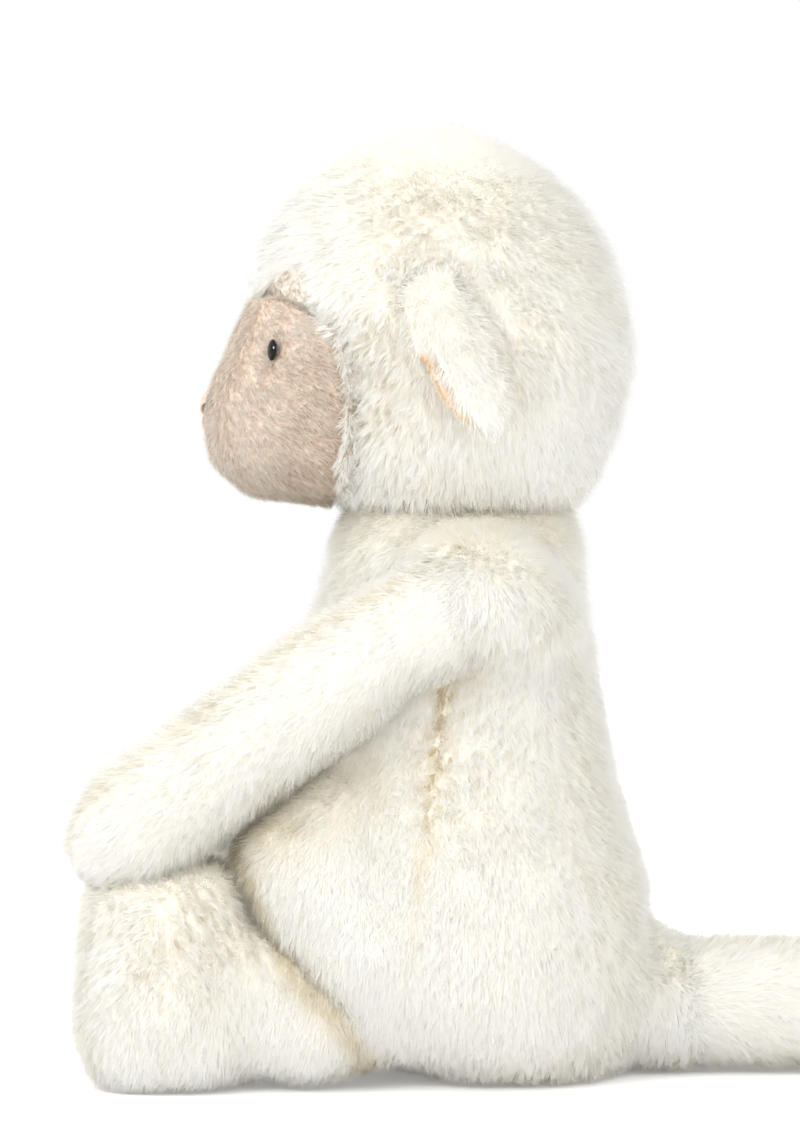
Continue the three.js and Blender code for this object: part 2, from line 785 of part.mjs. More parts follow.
function addTail() {
  const skin = tailAt(0, limb_sides, limb_rings).subtract(
    tailAt(wool_thickness, inner_sides, inner_rings),
  );
  const [left_half, right_half] = splitAt(skin, tail_root, new THREE.Vector3(1, 0, 0));
  addPiece('tail_left_panel', left_half, wool_finish);
  addPiece('tail_right_panel', right_half, wool_finish);
  addPiece('tail_stuffing', tailAt(wool_thickness + seam_gap, inner_sides, inner_rings), stuffing_finish);
}

addTorso();
addHead();
for (const [hand, side] of [[left, 'left'], [right, 'right']]) {
  addEar(hand, side);
  addArm(hand, side);
  addLeg(hand, side);
}
addTail();

export default sheep;
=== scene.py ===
# %% [markdown]
# A plush sheep that sits on its seat, with its arms on its feet and its tail on the ground.
# The real toy is sewn from panels of long-pile cloth and stuffed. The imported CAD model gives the
# bodies, the joints and the plain forms. This file dresses them: a stuffed skin for each limb,
# and the pile that grows on it, hair by hair.

# %% Load the frame
import json
import math

import bpy
import numpy as np
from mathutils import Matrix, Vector
from mathutils.bvhtree import BVHTree


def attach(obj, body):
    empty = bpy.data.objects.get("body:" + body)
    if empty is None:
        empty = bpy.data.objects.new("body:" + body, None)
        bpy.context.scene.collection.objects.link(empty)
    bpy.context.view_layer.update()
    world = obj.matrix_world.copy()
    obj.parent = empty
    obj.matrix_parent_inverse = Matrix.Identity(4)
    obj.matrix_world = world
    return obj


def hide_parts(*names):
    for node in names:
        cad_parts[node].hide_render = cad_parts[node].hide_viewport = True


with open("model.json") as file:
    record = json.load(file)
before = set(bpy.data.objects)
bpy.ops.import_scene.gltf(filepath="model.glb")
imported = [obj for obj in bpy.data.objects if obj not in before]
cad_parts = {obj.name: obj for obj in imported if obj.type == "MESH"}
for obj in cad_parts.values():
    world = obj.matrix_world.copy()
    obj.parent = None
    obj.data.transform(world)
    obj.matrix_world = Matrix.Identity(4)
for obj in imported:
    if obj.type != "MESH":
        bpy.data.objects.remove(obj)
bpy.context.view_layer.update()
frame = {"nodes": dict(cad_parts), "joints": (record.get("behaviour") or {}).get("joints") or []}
joints = {joint["name"]: joint for joint in frame["joints"]}

# %% [markdown]
# The camera stands level on the sheep's left side, a metre away and as high as its shoulders, as a
# toy is photographed on a table. From there the far arm hides behind the near one, while the near
# foot stands lower in the picture than the tail. The size of a picture dot was measured on the photo.

# %% Camera
MM = 0.001
PICTURE_DOTS_HIGH = 1134
DOT = 0.2378 * MM
CAMERA_PLACE = Vector((950, -28.5, 125)) * MM
CAMERA_AIM = Vector((0, -28.5, 119.8)) * MM

camera_data = bpy.data.cameras.new("camera")
camera_data.lens = camera_data.sensor_width * CAMERA_PLACE.x / (PICTURE_DOTS_HIGH * DOT)
camera_data.clip_start = 0.01
camera = bpy.data.objects.new("camera", camera_data)
bpy.context.scene.collection.objects.link(camera)
camera.location = CAMERA_PLACE
camera.rotation_euler = (CAMERA_AIM - CAMERA_PLACE).to_track_quat("-Z", "Y").to_euler()
bpy.context.scene.camera = camera
print("lens:", round(camera_data.lens, 1), "mm")

# %% [markdown]
# The floor is a wide pale sheet. It keeps the sheep's shadow, and a little light that only the camera
# and mirrors see lifts it to the white of the studio. The world is brought to white in the same way.
# White pile passes light from hair to hair many times, so the render follows it for many bounces.

# %% Floor and studio white
scene = bpy.context.scene
scene.view_settings.view_transform = "Standard"
scene.cycles.max_bounces = 24
scene.cycles.diffuse_bounces = 16
scene.cycles.transmission_bounces = 24
FLOOR_GREY = 0.8
FLOOR_LIFT = 0.22
WORLD_LIGHT = 1.38


def seen_directly(tree):
    """A value that is 1 for the camera, mirrors and glass, and 0 for the light that falls on things."""
    path = tree.nodes.new("ShaderNodeLightPath")
    first = tree.nodes.new("ShaderNodeMath")
    first.operation = "MAXIMUM"
    both = tree.nodes.new("ShaderNodeMath")
    both.operation = "MAXIMUM"
    tree.links.new(path.outputs["Is Camera Ray"], first.inputs[0])
    tree.links.new(path.outputs["Is Glossy Ray"], first.inputs[1])
    tree.links.new(first.outputs[0], both.inputs[0])
    tree.links.new(path.outputs["Is Transmission Ray"], both.inputs[1])
    return both.outputs[0]


bpy.ops.object.select_all(action="DESELECT")
bpy.ops.mesh.primitive_circle_add(vertices=64, radius=3, fill_type="NGON", location=(0, 0, 0))
floor = bpy.context.object
floor.name = "floor"
floor_material = bpy.data.materials.new("studio_floor")
floor_material.use_nodes = True
floor_tree = floor_material.node_tree
floor_shader = floor_tree.nodes["Principled BSDF"]
floor_shader.inputs["Base Color"].default_value = (FLOOR_GREY, FLOOR_GREY, FLOOR_GREY, 1)
floor_shader.inputs["Roughness"].default_value = 1
floor_shader.inputs["Specular IOR Level"].default_value = 0
floor_shader.inputs["Emission Color"].default_value = (1, 1, 1, 1)
floor_lift = floor_tree.nodes.new("ShaderNodeMath")
floor_lift.operation = "MULTIPLY"
floor_lift.inputs[1].default_value = FLOOR_LIFT
floor_tree.links.new(seen_directly(floor_tree), floor_lift.inputs[0])
floor_tree.links.new(floor_lift.outputs[0], floor_shader.inputs["Emission Strength"])
floor.data.materials.append(floor_material)

world = bpy.data.worlds.new("studio")
scene.world = world
world.use_nodes = True
world_tree = world.node_tree
background = world_tree.nodes["Background"]
background.inputs["Color"].default_value = (1, 1, 1, 1)
world_strength = world_tree.nodes.new("ShaderNodeMapRange")
world_strength.inputs["To Min"].default_value = WORLD_LIGHT
world_strength.inputs["To Max"].default_value = 1
world_tree.links.new(seen_directly(world_tree), world_strength.inputs["Value"])
world_tree.links.new(world_strength.outputs["Result"], background.inputs["Strength"])

# %% [markdown]
# Three soft boxes: a large one above and in front of the face, which gives the crown, the arms and
# the feet their bright side, one low beside the camera, which opens the shadows, and a small one
# between them. A bright window that lights only the eyes comes later, once there are eyes.

# %% Lamps


def soft_box(name, place, aim, size, watts):
    """A square area lamp at a place, turned towards a point."""
    lamp = bpy.data.lights.new(name, "AREA")
    lamp.size = size
    lamp.energy = watts
    lamp_object = bpy.data.objects.new(name, lamp)
    scene.collection.objects.link(lamp_object)
    lamp_object.location = place
    lamp_object.rotation_euler = (Vector(aim) - Vector(place)).to_track_quat("-Z", "Y").to_euler()
    return lamp_object


soft_box("front_light", (0.6, -0.8, 1.2), (0, 0, 0.1), 0.9, 5.2)
soft_box("side_light", (1.3, 0.3, 0.5), (0, 0, 0.1), 0.9, 4.9)
soft_box("catch_light", (0.9, -0.7, 0.6), (0, 0, 0.17), 0.22, 2.6)

# %% [markdown]
# Each limb starts as the CAD forms of its panels and stuffing, joined and wrapped in one closed
# skin by a voxel remesh. Where the CAD model leaves room for a joint, balls are added first,
# because real cloth has no such hole. The skin is then blown up from inside as a cloth that is held
# along its seams, which draws the seams in as stuffing does. Last it is moved in by the height of
# the pile that will stand on it, so that the finished limb keeps its size.

# %% Helpers for skins
PILE_HEIGHT = 2.8 * MM
SKIN_VOXEL = 4 * MM
FLOOR_GAP = 0.5 * MM
PUFF_PRESSURE = 300
PUFF_STIFFNESS = 0.1
PUFF_MASS = 0.003
PUFF_FRAMES = 20
PUFF_LIMIT = 1.6 * MM
SEAM_HOLD = 7 * MM
SEAT_HOLD = 2 * MM


def deselect():
    bpy.ops.object.select_all(action="DESELECT")


def make_active(piece):
    deselect()
    piece.select_set(True)
    bpy.context.view_layer.objects.active = piece


def vertex_places(piece):
    places = np.empty(len(piece.data.vertices) * 3, np.float32)
    piece.data.vertices.foreach_get("co", places)
    return places.reshape(-1, 3).astype(float)


def vertex_normals(piece):
    normals = np.empty(len(piece.data.vertices) * 3, np.float32)
    piece.data.vertex_normals.foreach_get("vector", normals)
    return normals.reshape(-1, 3).astype(float)


def set_places(piece, places):
    piece.data.vertices.foreach_set("co", places.astype(np.float32).ravel())
    piece.data.update()


def apply_modifier(piece, kind, **settings):
    make_active(piece)
    modifier = piece.modifiers.new(kind.lower(), kind)
    for setting, value in settings.items():
        setattr(modifier, setting, value)
    bpy.ops.object.modifier_apply(modifier=modifier.name)


def step_up(values, low, high):
    """0 below a value, 1 above another, and smooth between them."""
    share = np.clip((values - low) / (high - low), 0, 1)
    return share * share * (3 - 2 * share)


def seam_strength(seam, places):
    """How deep a seam is at each height. A fade gives the heights where it starts, is full, and ends."""
    strength = np.full(len(places), float(seam.get("strength", 1)))
    if "fade" in seam:
        starts, full, still_full, ends = (value * MM for value in seam["fade"])
        strength *= step_up(places[:, 2], starts, full) * (1 - step_up(places[:, 2], still_full, ends))
    return strength


def seam_share(places, seams, width):
    """1 on a seam plane, falling to 0 at a width away from it."""
    share = np.zeros(len(places))
    for seam in seams:
        facing = np.array(seam["facing"], float) / np.linalg.norm(seam["facing"])
        away = np.abs((places - np.array(seam["point"], float) * MM) @ facing)
        share = np.maximum(share, np.clip(1 - away / width, 0, 1) * seam_strength(seam, places))
    return share


def puff(skin, seams):
    """Blows a skin up from inside while its seams and its seat are held. No point moves past the limit.
    Returns how far the middle point moved before the limit."""
    start = vertex_places(skin)
    held = skin.vertex_groups.new(name="held")
    shares = np.maximum(seam_share(start, seams, SEAM_HOLD), (start[:, 2] < SEAT_HOLD) * 1.0)
    for index, share in enumerate(shares):
        held.add([index], float(share), "REPLACE")
    cloth = skin.modifiers.new("puff", "CLOTH")
    cloth.settings.use_pressure = True
    cloth.settings.uniform_pressure_force = PUFF_PRESSURE
    cloth.settings.tension_stiffness = cloth.settings.compression_stiffness = PUFF_STIFFNESS
    cloth.settings.mass = PUFF_MASS
    cloth.settings.effector_weights.gravity = 0
    cloth.settings.vertex_group_mass = held.name
    for frame_number in range(1, PUFF_FRAMES + 1):
        scene.frame_set(frame_number)
    blown = skin.evaluated_get(bpy.context.evaluated_depsgraph_get()).data
    places = np.empty(len(blown.vertices) * 3, np.float32)
    blown.vertices.foreach_get("co", places)
    moved = places.reshape(-1, 3).astype(float) - start
    skin.modifiers.remove(cloth)
    scene.frame_set(1)
    length = np.linalg.norm(moved, axis=1)
    moved *= (np.minimum(length, PUFF_LIMIT) / np.maximum(length, 1e-9))[:, None]
    set_places(skin, start + moved)
    return float(np.median(length))


def ball_at(middle_mm, radius_mm):
    """A ball given in millimetres, to be wrapped into a skin."""
    deselect()
    middle = [value * MM for value in middle_mm]
    bpy.ops.mesh.primitive_uv_sphere_add(segments=32, ring_count=16, radius=radius_mm * MM, location=middle)
    ball = bpy.context.object
    bpy.ops.object.transform_apply(location=True, rotation=True, scale=True)
    return ball


def stuffed_skin(name, node_names, balls=(), seams=(), draw_in=PILE_HEIGHT, voxel=SKIN_VOXEL, smooth_turns=7):
    """One closed skin round CAD nodes and balls, blown up between its seams and drawn in by a depth."""
    parts = [ball_at(middle, radius) for middle, radius in balls]
    for node_name in node_names:
        part = bpy.data.objects.new(node_name + "_copy", frame["nodes"][node_name].data.copy())
        part.data.materials.clear()
        scene.collection.objects.link(part)
        parts.append(part)
    deselect()
    for part in parts:
        part.select_set(True)
    bpy.context.view_layer.objects.active = parts[0]
    if len(parts) > 1:
        bpy.ops.object.join()
    skin = bpy.context.object
    skin.name = skin.data.name = name
    skin.data.remesh_voxel_size = voxel
    bpy.ops.object.voxel_remesh()
    apply_modifier(skin, "SMOOTH", iterations=smooth_turns)
    puffed = 0.0
    if seams:
        puffed = puff(skin, seams)
        apply_modifier(skin, "SMOOTH", iterations=3)
    places = vertex_places(skin) - vertex_normals(skin) * draw_in
    places[:, 2] = np.maximum(places[:, 2], FLOOR_GAP)
    set_places(skin, places)
    apply_modifier(skin, "SUBSURF", levels=1)
    make_active(skin)
    bpy.ops.object.shade_smooth()
    print(name, len(skin.data.polygons), "faces, blown up", round(puffed / MM, 2), "mm")
    return skin


def near(places, middle_mm, reach_mm):
    """1 at a point, on either side of the sheep, falling to 0 beyond a reach."""
    mirrored = np.column_stack([np.abs(places[:, 0]), places[:, 1], places[:, 2]]) / MM
    return np.exp(-((mirrored - np.array(middle_mm)) ** 2).sum(axis=1) / reach_mm ** 2)


def dented(skin, middle_mm, reach_mm, depth_mm):
    """Moves a skin in, or out where the depth is negative, round a point."""
    places = vertex_places(skin)
    share = near(places, middle_mm, reach_mm)[:, None]
    set_places(skin, places - vertex_normals(skin) * share * depth_mm * MM)


def joint_mm(name):
    return tuple(value / MM for value in joints[name]["pos_m"])


# %% [markdown]
# The seams lie where the panels of the CAD model meet, plus the two edges of the strip that runs over
# the head from the brow to the nape. Each is a plane: a point, the way that it faces, and how deep it is.

# %% Seams
BODY_SIDE = dict(point=(0, -22, 62.8), facing=(0, -125.6, 17), strength=0.75, fade=(14, 98, 100, 110))
HEAD_STRIP = [dict(point=(hand * 19, 0, 0), facing=(1, 0, 0), strength=0.2) for hand in (-1, 1)]
TAIL_MIDDLE = [dict(point=(0, 0, 0), facing=(1, 0, 0), strength=0.3)]
PAW = (31.6, -88, 62)
ARM_SEAM_TILT = math.radians(40)


def arm_seam(hand):
    """The plane between an arm's outer and inner panel, which leans over from upright."""
    shoulder = Vector(joint_mm("left_shoulder"))
    along = (Vector(PAW) - shoulder).normalized()
    up = Vector((1, 0, 0)).cross(along).normalized()
    up = -up if up.z < 0 else up
    facing = Vector((math.cos(ARM_SEAM_TILT), 0, 0)) - up * math.sin(ARM_SEAM_TILT)
    facing -= along * facing.dot(along)
    return dict(point=(hand * shoulder.x, shoulder.y, shoulder.z), strength=0.2,
                facing=(hand * facing.x, facing.y, facing.z))


# %% [markdown]
# The torso needs the most filling: the shoulder, where the arm's cloth runs on into the body, the
# haunch that bulges over the leg, and the root of the tail.

# %% Torso skin
torso_nodes = ["belly_panel", "back_panel", "torso_stuffing", "pellet_pouch"]
torso_balls = [(joint_mm("tail_lift"), 17.5), ((0, 30, 24), 12), ((0, -15, 121), 31)]
HAUNCH = [(24, -42, 45, 22), (29.5, -45, 44, 20), (27, -44, 60, 19), (12, -46.5, 53, 22), (31, -50, 53, 18)]
for side, hand in (("left", 1), ("right", -1)):
    torso_balls += [(joint_mm(side + "_shoulder"), 19.2), ((hand * 26, -1, 107), 16)]
    torso_balls += [(joint_mm(side + "_hip"), 14.5), ((hand * 29.5, -35, 33), 21.5)]
    torso_balls += [((hand * x, y, z), radius) for x, y, z, radius in HAUNCH]
torso_skin = stuffed_skin("torso_skin", torso_nodes, torso_balls, [BODY_SIDE])
for dent in (((0, 20, 105), 20, 1.4), ((0, 29, 66), 24, 2.2), ((46, -15, 93), 8, 2)):
    dented(torso_skin, *dent)

# %% Head and face skins
head_nodes = ["head_left_panel", "head_right_panel", "head_stuffing"]
face_nodes = ["face_left_panel", "face_right_panel"]
head_skin = stuffed_skin("head_skin", head_nodes, (), HEAD_STRIP, draw_in=3.1 * MM)
for dent in (((0, 4, 218), 22, -0.7), ((0, -30, 214), 24, -1.6), ((27, -57, 183), 7, 0.9),
             ((32, -46, 183), 8, -1.4), ((0, 18, 136), 16, 0.6)):
    dented(head_skin, *dent)
face_skin = stuffed_skin("face_skin", face_nodes + ["head_stuffing"], draw_in=0.9 * MM, voxel=2 * MM,
                         smooth_turns=14)
for dent in (((26.5, -60, 170), 4.5, 1.5), ((0, -64, 137), 9, -0.9), ((27, -59, 183), 6, 3),
             ((32, -49, 179), 5.5, 2)):
    dented(face_skin, *dent)

# %% [markdown]
# The muzzle is joined down its middle. The seam sinks the cloth a little, as a narrow valley.

# %% Muzzle seam
MUZZLE_VALLEY = 0.7
MUZZLE_VALLEY_WIDTH = 1.6 * MM
face_places = vertex_places(face_skin)
valley = np.exp(-(face_places[:, 0] / MUZZLE_VALLEY_WIDTH) ** 2)[:, None]
set_places(face_skin, face_places - vertex_normals(face_skin) * valley * MUZZLE_VALLEY * MM)

# %% Limb skins
FOOT_MIDDLE_X = 29.1
skins = {"torso": torso_skin, "head": head_skin, "face": face_skin}
limb_nodes = {"tail": ["tail_left_panel", "tail_right_panel", "tail_stuffing"]}
skins["tail"] = stuffed_skin("tail_skin", limb_nodes["tail"], seams=TAIL_MIDDLE, draw_in=2.4 * MM)
for side, hand in (("left", 1), ("right", -1)):
    paw = [((hand * PAW[0], PAW[1], PAW[2]), 17.5), ((hand * PAW[0], PAW[1] - 5.2, PAW[2] - 3.5), 14.2)]
    ankle = [((hand * FOOT_MIDDLE_X, -56, 22), 17), ((hand * 31, -48, 15.5), 16.5)]
    foot_seam = dict(point=(hand * FOOT_MIDDLE_X, 0, 0), facing=(1, 0, 0), strength=0.5)
    for limb, balls, seam in (("arm", paw, arm_seam(hand)), ("leg", ankle, foot_seam)):
        name = side + "_" + limb
        limb_nodes[name] = [f"{name}_{part}" for part in ("outer_panel", "inner_panel", "stuffing")]
        skins[name] = stuffed_skin(name + "_skin", limb_nodes[name], balls, [seam])

# %% [markdown]
# The arm is a little bent: it runs level from the shoulder, then falls towards the paw, which sinks
# into the pile of the foot. The leg's thigh lies deep between the haunch and the foot.

# %% Bent arms and drawn in thighs
ARM_BEND_Y = [-105, -93, -80, -69, -55, -40, -25]
ARM_BEND_Z = [-0.4, -0.8, -0.6, 0.0, 0.9, 0.8, 0.0]
LEG_DENTS = [((47, -46, 30), 15, 3), ((29, -86, 52), 12, -1.6), ((29, -99, 45), 14, -2.4),
             ((29, -68, 47), 11, -6), ((29, -100, 10), 12, -1.8)]
for side in ("left", "right"):
    arm_places = vertex_places(skins[side + "_arm"])
    arm_places[:, 2] += np.interp(arm_places[:, 1] / MM, ARM_BEND_Y, ARM_BEND_Z) * MM
    set_places(skins[side + "_arm"], arm_places)
    dented(skins[side + "_arm"], (44, -25, 91), 10, 3.5)
    for dent in LEG_DENTS:
        dented(skins[side + "_leg"], *dent)

# %% [markdown]
# An ear is a leaf of two layers, folded along its length so that it opens forwards. The lining
# shows there as a crescent, so the front edge is pressed in to a hollow between two lips.

# %% Ear skins
EAR_ROOT = np.array([-21.7, 180.5]) * MM
EAR_TIP = np.array([-6.3, 149.9]) * MM
EAR_HALF_WIDTH = 9 * MM
EAR_FOLD = 0.62
EAR_HOLLOW = 1.6 * MM
LINING_WIDTH = 4.2 * MM
EAR_ROOT_SINK = 9 * MM


def unit(vectors):
    return vectors / np.maximum(np.linalg.norm(vectors, axis=1), 1e-12)[:, None]


def ear_frame(places):
    """How far along an ear a place lies, 0 at the root and 1 at the tip, and how far behind its middle."""
    along = EAR_TIP - EAR_ROOT
    length = np.linalg.norm(along)
    along = along / length
    from_root = places[:, 1:] - EAR_ROOT
    return from_root @ along / length, from_root @ np.array([-along[1], along[0]])


def ear_opening(places):
    """1 in the hollow along the front edge of an ear, and 0 on its wool."""
    share, behind = ear_frame(places)
    edge = EAR_HALF_WIDTH * np.sqrt(np.clip(1 - np.clip((share - 0.55) / 0.6, 0, 1) ** 2, 0.05, 1))
    return step_up(-behind - edge + LINING_WIDTH, -0.5 * MM, 0.5 * MM) * step_up(share, 0.22, 0.36)


for side in ("left", "right"):
    limb_nodes[side + "_ear"] = [side + "_ear_back", side + "_ear_lining"]
    ear_skin = stuffed_skin(side + "_ear_skin", limb_nodes[side + "_ear"], draw_in=0.9 * MM, voxel=1.4 * MM,
                            smooth_turns=8)
    ear_places = vertex_places(ear_skin)
    share, behind = ear_frame(ear_places)
    across = np.array([-(EAR_TIP - EAR_ROOT)[1], (EAR_TIP - EAR_ROOT)[0]])
    across /= np.linalg.norm(across)
    ear_places[:, 1:] -= (behind * (1 - EAR_FOLD))[:, None] * across
    ear_places[:, 0] -= np.sign(ear_places[:, 0]) * (1 - step_up(share, -0.25, 0.0)) * EAR_ROOT_SINK
    set_places(ear_skin, ear_places)
    hollow = (ear_opening(ear_places) * EAR_HOLLOW)[:, None]
    set_places(ear_skin, ear_places - vertex_normals(ear_skin) * hollow)
    skins[side + "_ear"] = ear_skin

# %% [markdown]
# The pile is grown as real hairs. Each is a slim blade, widest at its root. A hair leans along the
# nap, the nap wanders a little from place to place, and neighbouring hairs stick together at their
# tips in small tufts. Every blade is lit mostly as the cloth below it would be, because it stands
# for a mass of fine fibres.

# %% Noise and nap helpers
def waves(seed, size, count=12):
    """A smooth random field: a sum of waves of about the given length. Its spread is about 1."""
    dice = np.random.default_rng(seed)
    ways = dice.normal(size=(count, 3))
    ways *= (2 * math.pi / size) * dice.uniform(0.6, 1.6, (count, 1)) / np.linalg.norm(ways, axis=1)[:, None]
    starts = dice.uniform(0, 2 * math.pi, count)
    return lambda places: np.sin(places @ ways.T + starts).sum(axis=1) / math.sqrt(count / 2)


def along_skin(vectors, normals):
    return unit(vectors - normals * (vectors * normals).sum(axis=1)[:, None])


def turned(vectors, axes, angles):
    """Vectors turned about unit axes that are square to them."""
    return vectors * np.cos(angles)[:, None] + np.cross(axes, vectors) * np.sin(angles)[:, None]


def scattered(skin, roots_per_mm2, dice, keep=None):
    """Random roots on a skin with their normals. keep picks triangles by their middles and normals."""
    skin.data.calc_loop_triangles()
    triangles = np.empty(len(skin.data.loop_triangles) * 3, np.int32)
    skin.data.loop_triangles.foreach_get("vertices", triangles)
    triangles = triangles.reshape(-1, 3)
    places, normals = vertex_places(skin), vertex_normals(skin)
    if keep is not None:
        triangles = triangles[keep(places[triangles].mean(axis=1), unit(normals[triangles].mean(axis=1)))]
    corners = places[triangles]
    areas = np.linalg.norm(np.cross(corners[:, 1] - corners[:, 0], corners[:, 2] - corners[:, 0]), axis=1) / 2
    count = int(areas.sum() / MM ** 2 * roots_per_mm2)
    chosen = dice.choice(len(areas), count, p=areas / areas.sum())
    a, b = dice.random((2, count))
    flip = a + b > 1
    a[flip], b[flip] = 1 - a[flip], 1 - b[flip]
    shares = np.stack([1 - a - b, a, b], axis=1)[:, :, None]
    chosen = triangles[chosen]
    return (places[chosen] * shares).sum(axis=1), unit((normals[chosen] * shares).sum(axis=1))


CELL_PRIMES = (73856093, 19349663, 83492791)
SEED_PRIME = 2654435761
JITTER_FACTORS = (1, 48271, 69621)


def tufts(places, size, seed):
    """The number of the nearest tuft for each place, from one random point in each cell of a grid."""
    cells = np.floor(places / size).astype(np.int64)
    best = np.full(len(places), np.inf)
    found = np.zeros(len(places), np.int64)
    for step in np.ndindex(3, 3, 3):
        cell = cells + np.array(step) - 1
        x, y, z = (cell[:, axis] * prime for axis, prime in enumerate(CELL_PRIMES))
        code = (x ^ y ^ z ^ (seed * SEED_PRIME)) & 0x7FFFFFFF
        jitter = np.stack([((code * k) >> 7 & 1023) / 1023 for k in JITTER_FACTORS], axis=1)
        apart = (((cell + jitter) * size - places) ** 2).sum(axis=1)
        closer = apart < best
        best[closer], found[closer] = apart[closer], code[closer]
    return np.unique(found, return_inverse=True)[1].ravel()


def mean_of(values, group, groups):
    sums = np.stack([np.bincount(group, values[:, i], groups) for i in range(3)], axis=1)
    return (sums / np.maximum(np.bincount(group, minlength=groups), 1)[:, None])[group]


# %% Hair mesh
SKIN_LIT = 0.8


def hair_piece(name, roots, tips, sideways, normals, shade, material):
    """A mesh with one slim triangle for each hair. In its UV map, U is the hair's tone with its
    painted shade, and V runs from root to tip."""
    count = len(roots)
    corners = np.stack([roots - sideways, roots + sideways, tips], axis=1)
    mesh = bpy.data.meshes.new(name)
    mesh.vertices.add(count * 3)
    mesh.vertices.foreach_set("co", corners.astype(np.float32).ravel())
    mesh.loops.add(count * 3)
    mesh.loops.foreach_set("vertex_index", np.arange(count * 3, dtype=np.int32))
    mesh.polygons.add(count)
    mesh.polygons.foreach_set("loop_start", (np.arange(count) * 3).astype(np.int32))
    uv = mesh.uv_layers.new(name="OFBake")
    coordinates = np.empty((count, 3, 2), np.float32)
    coordinates[:, :, 0] = np.clip(shade, 0.01, 0.99)[:, None] + np.array([-1, 1, 0]) * 0.004
    coordinates[:, :, 1] = np.array([0.02, 0.02, 0.98])
    uv.data.foreach_set("uv", coordinates.ravel())
    blade = unit(np.cross(sideways, tips - roots))
    lit = unit(blade * (1 - SKIN_LIT) + normals * SKIN_LIT)
    custom = mesh.attributes.new("custom_normal", "FLOAT_VECTOR", "POINT")
    custom.data.foreach_set("vector", np.repeat(lit, 3, axis=0).astype(np.float32).ravel())
    mesh.update(calc_edges=True)
    mesh.materials.append(material)
    piece = bpy.data.objects.new(name, mesh)
    scene.collection.objects.link(piece)
    print(name, count, "hairs")
    return piece


# %% [markdown]
# One rule grows all the pile. A coat says how long, dense, flat and tufted the hairs are, and a
# field of mess, from 0 where the pile lies combed to 1 where it is ruffled, stirs their directions.
# At a seam the pile is caught by the thread: it is shorter and ruffled, and painted shade darkens it there
# and wherever it is ruffled.

# %% Growing pile
WOOL = dict(roots_per_mm2=11, length=4.6, width=0.25, lift=44, tuft=1.2, cling=0.3, speckle=0.085)
SHORT_PILE = dict(roots_per_mm2=13, length=2.7, width=0.21, lift=22, tuft=0.7, cling=0.4, speckle=0.08,
                  stray=0.25)
LINING_PILE = dict(roots_per_mm2=16, length=2.0, width=0.2, lift=40, tuft=1.2, cling=0.3)
CALM = 0.15
UNSHADED = 0.76
PART_REACH = 2.6 * MM
THREAD_REACH = 1.1 * MM
BROAD_SWIRL = 15 * MM
FINE_SWIRL = 2.6 * MM
RISE_WAVE = 2.4 * MM
LENGTH_WAVE = 8 * MM
ROOT_DEPTH = 0.4 * MM
TIP_REACH = 1.2 * MM
# How much painted shade darkens the pile where a seam parts it, where it is ruffled, and on a seam's line.
PARTED_PAINTED_SHADE, MESSY_PAINTED_SHADE, THREAD_PAINTED_SHADE = 0.45, 0.11, 0.5


